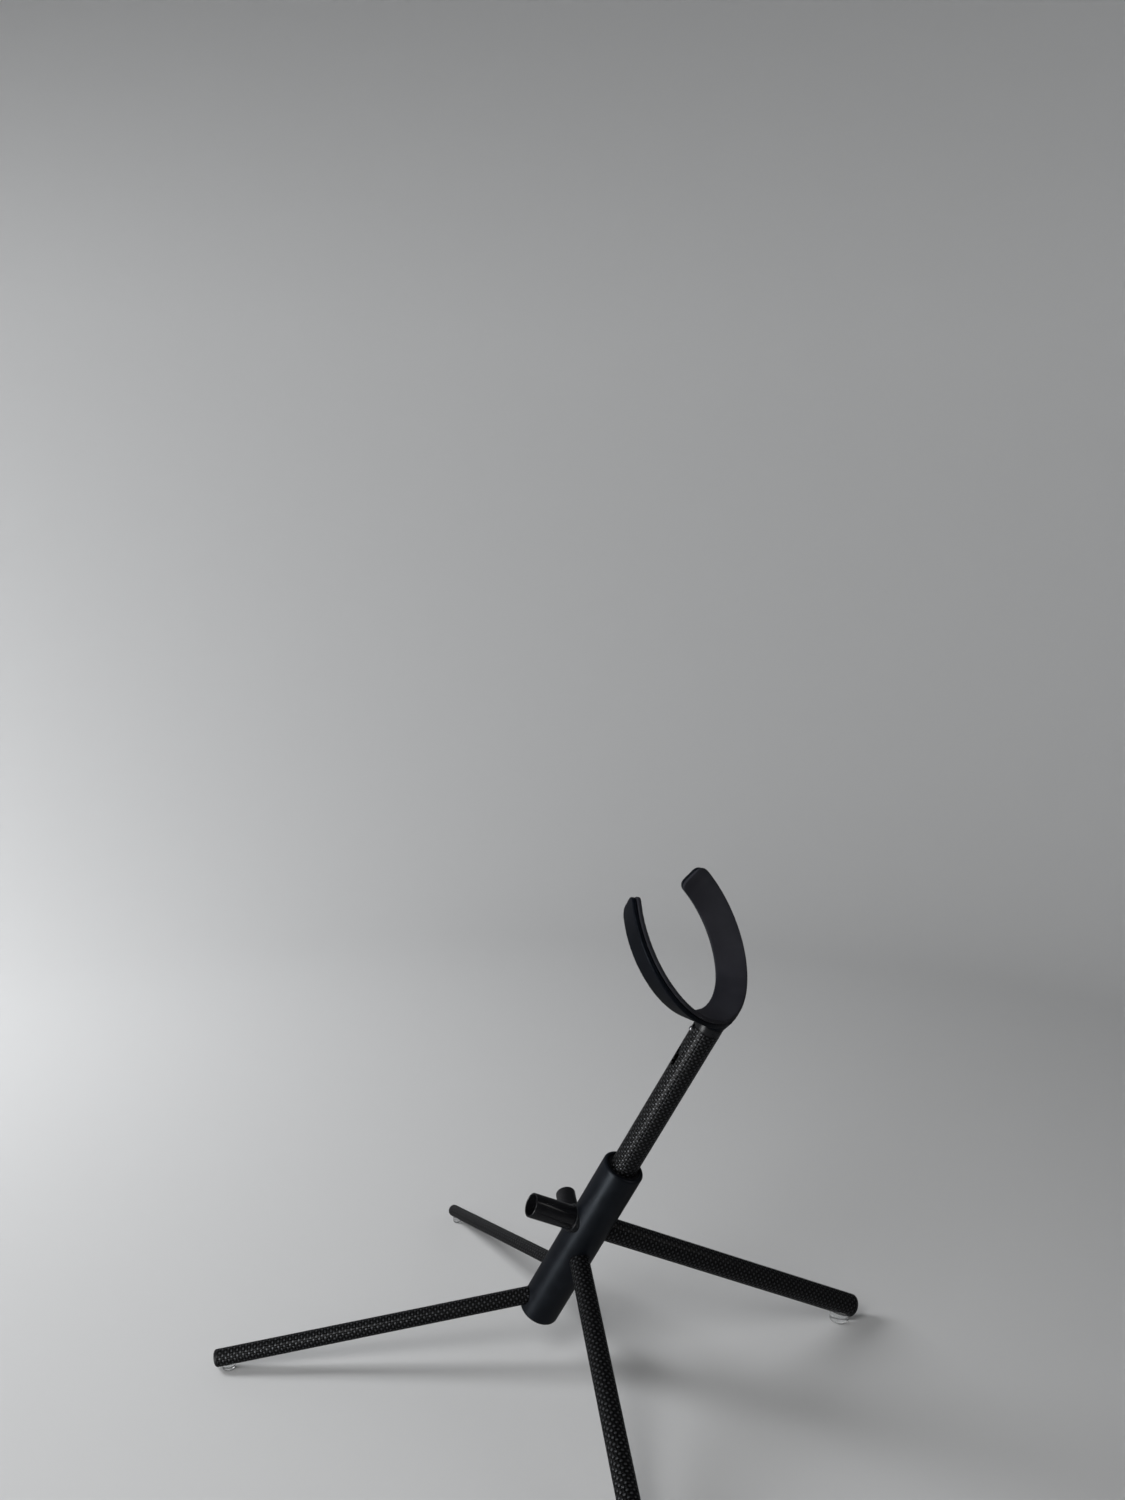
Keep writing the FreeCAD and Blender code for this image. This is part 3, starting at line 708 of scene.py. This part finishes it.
# %% [markdown]
# ## Mast bush
# A plastic bush lines the top of the hub, so that the mast turns without scraping, and its lip is what the
# mast stands on. It is a turned ring with an inner step. The lip is drawn a hair low, so that two faces
# never lie in one plane.
# %% Mast bush
SEAT_GAP = 0.02 * MM
RUNNING_GAP = 0.05 * MM
bush_shape = Round("mast_bush", LEAN)
mast_room = mast_shape.outer + RUNNING_GAP
lip_bore, lip = 6.25 * MM, 2.0 * MM - SEAT_GAP
bush_outline = rounded([(lip_bore, 0), (bush_shape.outer, 0), (bush_shape.outer, bush_shape.length),
                        (mast_room, bush_shape.length), (mast_room, lip), (lip_bore, lip)],
                       [0.2 * MM, 0.4 * MM, 0.35 * MM, 0.35 * MM, 0, 0.3 * MM], closed=True)
bush = turned("mast_bushing", bush_outline, bush_shape, 96, closed=True, material=BUSH_BLACK)
settle(bush, "bush", "mast_bush")
print("bush", round(bush_shape.length / MM, 1), "mm long")

# %% [markdown]
# ## Peg collars
# A thin raised collar stands round each peg where it leaves the hub. Its back is fitted to the hub's round
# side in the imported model. That fit lies inside the hub here, so a plain turned ring shows the same edge.
# %% Peg collars
for leg in PEG_LEGS:
    collar_shape = Round(leg + "_peg_collar", -LEG_AXIS[leg])
    bore = Round(leg + "_peg", LEG_AXIS[leg]).outer + RUNNING_GAP
    outline = rounded([(bore, 0), (collar_shape.outer, 0), (collar_shape.outer, collar_shape.length),
                       (bore, collar_shape.length)], [0, 0, 0.5 * MM, 0.25 * MM], steps=7, closed=True)
    collar = turned(leg + "_collar", outline, collar_shape, 96, closed=True, material=COLLAR_BLACK)
    settle(collar, "hub", leg + "_peg_collar")
    print(collar.name, round(collar_shape.outer / MM, 2), "mm in radius")

# %% [markdown]
# ## Rubber rings
# An o-ring in each socket grips the tube that is pushed in, and one on the stem grips the mast. Blender has a
# torus, but it would have to be turned into place. Here the ring is one more turned outline, a circle.
# %% Rubber rings


def rubber_ring(name, node, axis, body):
    """An o-ring: a circle of cord radius carried round at the ring's middle radius."""
    shape = Round(node, axis)
    cord = shape.length / 2
    turn = np.linspace(0, 2 * np.pi, 20, endpoint=False)
    outline = np.stack([shape.outer - cord + cord * np.cos(turn), cord + cord * np.sin(turn)], axis=1)
    piece = turned(name, outline, shape, 72, closed=True, material=RING_RUBBER)
    settle(piece, body, node)


for leg in LEGS:
    rubber_ring(leg + "_socket_ring", leg + "_o_ring", LEG_AXIS[leg], "hub")
rubber_ring("stem_ring", "stem_o_ring", LEAN, "cradle")
print(len(LEGS) + 1, "rubber rings")

# %% [markdown]
# ## Cradle stem
# The stem is a plug that stands in the mast and carries the cradle. Only its shoulder shows, as a smooth
# black band as wide as the mast. It is a turned solid with one step.
# %% Cradle stem
SHOULDER_HEIGHT = 4.5 * MM
stem_shape = Round("cradle_stem", LEAN)
spigot = mast_shape.outer - TUBE_WALL - RUNNING_GAP
shoulder = stem_shape.length - SHOULDER_HEIGHT + SEAT_GAP
stem_outline = rounded([(0, 0), (spigot, 0), (spigot, shoulder), (stem_shape.outer, shoulder),
                        (stem_shape.outer, stem_shape.length), (0, stem_shape.length)],
                       [0, 1.0 * MM, 0, 0.25 * MM, 0.15 * MM, 0])
stem = turned("stem", stem_outline, stem_shape, 112, material=STEM_BLACK)
settle(stem, "cradle", "cradle_stem")
print("stem", round(stem_shape.length / MM, 1), "mm long")

# %% [markdown]
# ## Locating pin
# A steel pin sticks out of the stem and drops into the mast's notch, so the cradle can't turn. It points
# forward, turned a little to the right. The head is rounded almost to a bead, which catches the light.
# %% Locating pin
RIGHT = np.array([1.0, 0.0, 0.0])
FORWARD = -np.cross(LEAN, RIGHT)
KEY_TURN = math.radians(40.0)
PIN_ROUND = 1.2 * MM
pin_shape = Round("stem_pin", FORWARD * math.cos(KEY_TURN) + RIGHT * math.sin(KEY_TURN))
pin_outline = rounded([(0, 0), (pin_shape.outer, 0), (pin_shape.outer, pin_shape.length),
                       (0, pin_shape.length)], [0, 0, PIN_ROUND, 0], steps=12)
pin = turned("locating_pin", pin_outline, pin_shape, 48, material=PIN_STEEL)
settle(pin, "cradle", "stem_pin")
print("pin", round(pin_shape.length / MM, 1), "mm long")

# %% [markdown]
# ## Band screw
# One screw holds the band to the stem, with its head under the liner. A modelled thread would never be
# seen, so the shank is plain, and the head has a shallow hollow where the driver goes in.
# %% Band screw
screw_shape = Round("cradle_screw", LEAN)
shank, shank_top = 2.0 * MM, 12.0 * MM
screw_outline = rounded([(0, 0), (shank, 0), (shank, shank_top), (screw_shape.outer, shank_top),
                         (screw_shape.outer, screw_shape.length), (1.7 * MM, screw_shape.length),
                         (1.45 * MM, screw_shape.length - 1.3 * MM), (0, screw_shape.length - 1.6 * MM)],
                        [0, 0.4 * MM, 0, 0.1 * MM, 0.7 * MM, 0.15 * MM, 0, 0])
screw = turned("band_screw", screw_outline, screw_shape, 64, material=SCREW_STEEL)
settle(screw, "cradle", "cradle_screw")
print("screw", round(screw_shape.length / MM, 1), "mm long")

# %% [markdown]
# ## Cradle
# The cradle is a flared band, open at the top, that takes the bell of the instrument, with a softer liner
# inside. Both are moulded, so every edge is soft. A Bevel modifier fails on the small faces where the boss
# meets the band. The voxel remesh cuts the whole surface into small even cells instead, and a few passes of
# smoothing pull each edge round.
# %% Cradle band and liner


def moulded_copy(name, node, material, voxel, passes):
    """A CAD node remeshed in small even cells and relaxed, which rounds each edge as a mould does."""
    piece = merged_copy(name, node, material)
    grid = piece.modifiers.new("even cells", "REMESH")
    grid.mode = "VOXEL"
    grid.voxel_size = voxel
    relax = piece.modifiers.new("relax", "SMOOTH")
    relax.factor = 0.5
    relax.iterations = passes
    shaped = bpy.data.meshes.new_from_object(piece.evaluated_get(bpy.context.evaluated_depsgraph_get()))
    piece.modifiers.clear()
    piece.data = shaped
    shaped.materials.clear()
    shaped.materials.append(material)
    shaped.shade_smooth()
    print(name, len(shaped.polygons), "faces")
    return piece


band = moulded_copy("cradle", "cradle_band", CRADLE_BLACK, 0.42 * MM, 8)
settle(band, "cradle", "cradle_band")
liner = moulded_copy("cradle_pad", "cradle_liner", LINER_GREY, 0.40 * MM, 6)
settle(liner, "cradle", "cradle_liner")

# %% [markdown]
# ## The underside of a leg
# A bumper is an upright round pad between the floor and a sloping tube, so its top must follow the tube. A
# Boolean modifier could cut it, with thin slivers at the rim. The tube is a plain cylinder, though, so the
# height of its underside can be worked out for any point of the floor.
# %% Leg underside


def leg_underside(spots, shape):
    """Height of a leg's underside over each floor point.

    With w from a point of the leg's line to the place (x, y, z), the wall is where w squared less the square
    of its part along the leg is the radius squared. That is a square equation in z, and the lower root is
    the underside."""
    axis = shape.axis
    flat = spots - shape.foot[:2]
    flat_along = flat @ axis[:2]
    a = 1 - axis[2] ** 2
    b = -flat_along * axis[2]
    c = (flat ** 2).sum(axis=-1) - flat_along ** 2 - shape.outer ** 2
    return shape.foot[2] + (-b - np.sqrt(np.maximum(b ** 2 - a * c, 0))) / a


print("underside helper ready")

# %% [markdown]
# ## Bumpers
# The pad is a stack of rings of points: out across the floor, round the lower edge, up the wall and in
# again over the saddle under the tube. One vertex closes it at the bottom and one at the top.
# %% Bumpers
BUMPER_EDGE = 1.4 * MM
SHARP_BUMPER = 40


def bumper(leg):
    """A pad in rings: out across the floor, round its edge, up the wall and in again over the saddle."""
    shape = Round(leg + "_leg", LEG_AXIS[leg])
    low, high = (np.array(corner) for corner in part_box(leg + "_bumper"))
    middle = (low[:2] + high[:2]) / 2
    radius = (high[0] - low[0]) / 2
    edge = BUMPER_EDGE
    turn = np.linspace(0, 2 * np.pi, 64, endpoint=False)
    circle = np.stack([np.cos(turn), np.sin(turn)], axis=1)
    bend = np.linspace(0, np.pi / 2, 9)
    floor = [(share * (radius - edge), 0.0) for share in (0.25, 0.6)]
    floor += list(zip(radius - edge + edge * np.sin(bend), edge - edge * np.cos(bend)))
    rings = [np.c_[middle + circle * across, np.full(len(turn), height)] for across, height in floor]
    rim_top = leg_underside(middle + circle * radius, shape)
    for share in (0.35, 0.7, 1.0):
        rings.append(np.c_[middle + circle * radius, edge + (rim_top - edge) * share])
    for across in (0.85, 0.6, 0.3):
        spots = middle + circle * radius * across
        rings.append(np.c_[spots, leg_underside(spots, shape)])
    points = np.vstack([[[*middle, 0.0]], *rings, [[*middle, leg_underside(middle, shape)]]])
    here = np.arange(len(turn))
    ahead = (here + 1) % len(turn)
    faces = np.stack([np.zeros_like(here), 1 + ahead, 1 + here], axis=1).tolist()
    for ring in range(len(rings) - 1):
        start, after = 1 + ring * len(turn), 1 + (ring + 1) * len(turn)
        faces += np.stack([start + here, start + ahead, after + ahead, after + here], axis=1).tolist()
    last = 1 + (len(rings) - 1) * len(turn)
    faces += np.stack([last + here, last + ahead, np.full_like(here, len(points) - 1)], axis=1).tolist()
    piece = new_piece(leg + "_foot_bumper", points, faces, material=BUMPER_CLEAR)
    outwards(piece)
    piece.data.set_sharp_from_angle(angle=math.radians(SHARP_BUMPER))
    settle(piece, leg, leg + "_bumper")


for leg in LEGS:
    bumper(leg)
print(len(LEGS), "bumpers")

# %% [markdown]
# ## Studio bowl
# The stand needs a floor to cast its shadow on and a pale room behind it. A plane and a wall would show a
# line where they meet. This is one sweep: a disc, a quarter-round and a wall, turned about the upright, so it
# looks the same from every side. Gloss doesn't see it, because the black tubes would mirror it as a haze.
# %% Studio bowl
FLOOR_RADIUS, BEND_RADIUS, WALL_HEIGHT = 0.9, 0.9, 1.6
FLOOR_DROP = 0.05 * MM


def studio_bowl():
    """Floor and wall in one sweep: a chain of (radius, height) points turned about the upright."""
    turn = np.linspace(0, np.pi / 2, 32)
    outline = [(0.0, 0.0), (0.3, 0.0), (0.6, 0.0)]
    outline += list(zip(FLOOR_RADIUS + BEND_RADIUS * np.sin(turn), BEND_RADIUS - BEND_RADIUS * np.cos(turn)))
    outline += [(FLOOR_RADIUS + BEND_RADIUS, BEND_RADIUS + WALL_HEIGHT)]
    count = 128
    angles = np.linspace(0, 2 * np.pi, count, endpoint=False)
    points = np.vstack([[[0, 0, 0]]] + [np.c_[radius * np.cos(angles), radius * np.sin(angles),
                                              np.full(count, height)] for radius, height in outline[1:]])
    here = np.arange(count)
    ahead = (here + 1) % count
    faces = np.stack([np.zeros_like(here), 1 + here, 1 + ahead], axis=1).tolist()
    for ring in range(len(outline) - 2):
        start, after = 1 + ring * count, 1 + (ring + 1) * count
        faces += np.stack([start + here, after + here, after + ahead, start + ahead], axis=1).tolist()
    material, _, _ = finish_of("studio_paper", (0.56, 0.562, 0.562), 0.9)
    bowl = new_piece("studio_bowl", points - [0, 0, FLOOR_DROP], faces, material=material)
    bowl.visible_glossy = False
    bowl.visible_shadow = False


studio_bowl()
print("bowl", 2 * (FLOOR_RADIUS + BEND_RADIUS), "m across")

# %% [markdown]
# ## Lights
# Area lights do two jobs here. The window lights are mirrored in the tubes and draw the long bright line on
# each. The washes only light the bowl, brightest at the left, and gloss doesn't see them, or every tube
# would carry a line for each. One light can't do both, because a black tube shows little but reflections.
# %% Lights
MIDDLE = (0.0, 0.02, 0.14)
COOL, NEUTRAL, WARM = (0.98, 0.99, 1.0), (1.0, 1.0, 1.0), (1.0, 0.98, 0.96)


def soft_box(name, place, target, size, power, colour=NEUTRAL, mirrored=True):
    """A rectangular area light at a place, turned to face a target. Gloss shows it only if mirrored."""
    light = bpy.data.lights.new(name, "AREA")
    light.shape = "RECTANGLE"
    light.size, light.size_y = size
    light.energy = power
    light.color = colour
    box = bpy.data.objects.new(name, light)
    box.location = place
    box.rotation_euler = (Vector(target) - Vector(place)).to_track_quat("-Z", "Y").to_euler()
    box.visible_glossy = mirrored
    box.visible_camera = False
    bpy.context.scene.collection.objects.link(box)


soft_box("window", (1.25, 0.08, 1.0), MIDDLE, (0.34, 0.8), 2.6, COOL)
soft_box("low_window", (0.90, -0.40, 0.0), MIDDLE, (0.34, 0.5), 3.4, COOL)
soft_box("top_wash", (1.0, 0.0, 1.3), MIDDLE, (0.6, 0.6), 4.5, mirrored=False)
soft_box("side_wash", (0.30, -1.15, 0.85), (-0.55, -0.75, 0.1), (0.6, 0.6), 17.0,
         (0.975, 0.985, 1.0), mirrored=False)
soft_box("near_wash", (0.62, 0.05, 0.55), (0.30, 0.05, 0.0), (0.4, 0.4), 0.9, mirrored=False)
soft_box("back_fill", (-0.5, 1.3, 1.0), MIDDLE, (0.7, 0.6), 0.8, WARM)
print(len(bpy.data.lights), "area lights")

# %% [markdown]
# ## The room in the reflections
# A black glossy object is mostly a picture of its room. The bowl is hidden from gloss, so the world stands
# in for it: pale below, dim above, and paler on the side where the wash falls. A gradient by direction is
# enough, since nothing here is smooth enough to mirror a sharp picture.
# %% Room light
DIM_ROOM, PALE_SIDE, PALE_FLOOR = (0.020, 0.021, 0.023), (0.15, 0.153, 0.158), (0.075, 0.076, 0.078)
WASHED_SIDE = (-0.40, -0.92, 0.0)


def room_light():
    """World colour by direction: floor colour below the horizon, else dim, paler as it nears the side."""
    world = bpy.data.worlds.new("studio")
    world.use_nodes = True
    tree = world.node_tree
    direction = tree.nodes.new("ShaderNodeTexCoord").outputs["Generated"]
    split = tree.nodes.new("ShaderNodeSeparateXYZ")
    tree.links.new(direction, split.inputs[0])
    floor = remap(tree, split.outputs[2], -0.35, 0.02, 1.0, 0.0)
    towards = tree.nodes.new("ShaderNodeVectorMath")
    towards.operation = "DOT_PRODUCT"
    towards.inputs[1].default_value = WASHED_SIDE
    tree.links.new(direction, towards.inputs[0])
    paper = remap(tree, towards.outputs["Value"], 0.45, 1.0, 0.0, 1.0)
    room = mix_colour(tree, paper, DIM_ROOM, PALE_SIDE)
    sky = mix_colour(tree, floor, room, PALE_FLOOR)
    tree.links.new(sky, tree.nodes["Background"].inputs["Color"])
    bpy.context.scene.world = world


room_light()
bpy.context.scene.view_settings.view_transform = "Standard"
print("world:", bpy.context.scene.world.name)

# %% [markdown]
# ## Camera
# The stand is seen from its right rear and from above, so the mast leans up to the right of the picture. A
# Track To constraint could aim the camera, but it can't roll it. So the camera's place and its three turns
# are given: round the upright, tipped down from level, and a small roll.
# %% Camera
CAMERA_PLACE = (0.6448, 0.3844, 0.4758)
CAMERA_TURN, CAMERA_TIP, CAMERA_ROLL = (math.radians(angle) for angle in (120.1, 82.1, 0.94))
camera_data = bpy.data.cameras.new("camera")
camera_data.sensor_fit = "VERTICAL"
camera_data.sensor_height = 36.0
camera_data.lens = 31.78
camera_data.clip_start = 0.01
camera = bpy.data.objects.new("camera", camera_data)
camera.matrix_world = (Matrix.Translation(CAMERA_PLACE) @ Matrix.Rotation(CAMERA_TURN, 4, "Z")
                       @ Matrix.Rotation(CAMERA_TIP, 4, "X") @ Matrix.Rotation(CAMERA_ROLL, 4, "Z"))
bpy.context.scene.collection.objects.link(camera)
bpy.context.scene.camera = camera
print("camera", [round(value, 3) for value in camera.location])

# %% [markdown]
# ## The end
# The new pieces must fill the imported model's space, no more and no less. At the end the scene is brought up
# to date.
# %% The end
bpy.context.view_layer.update()
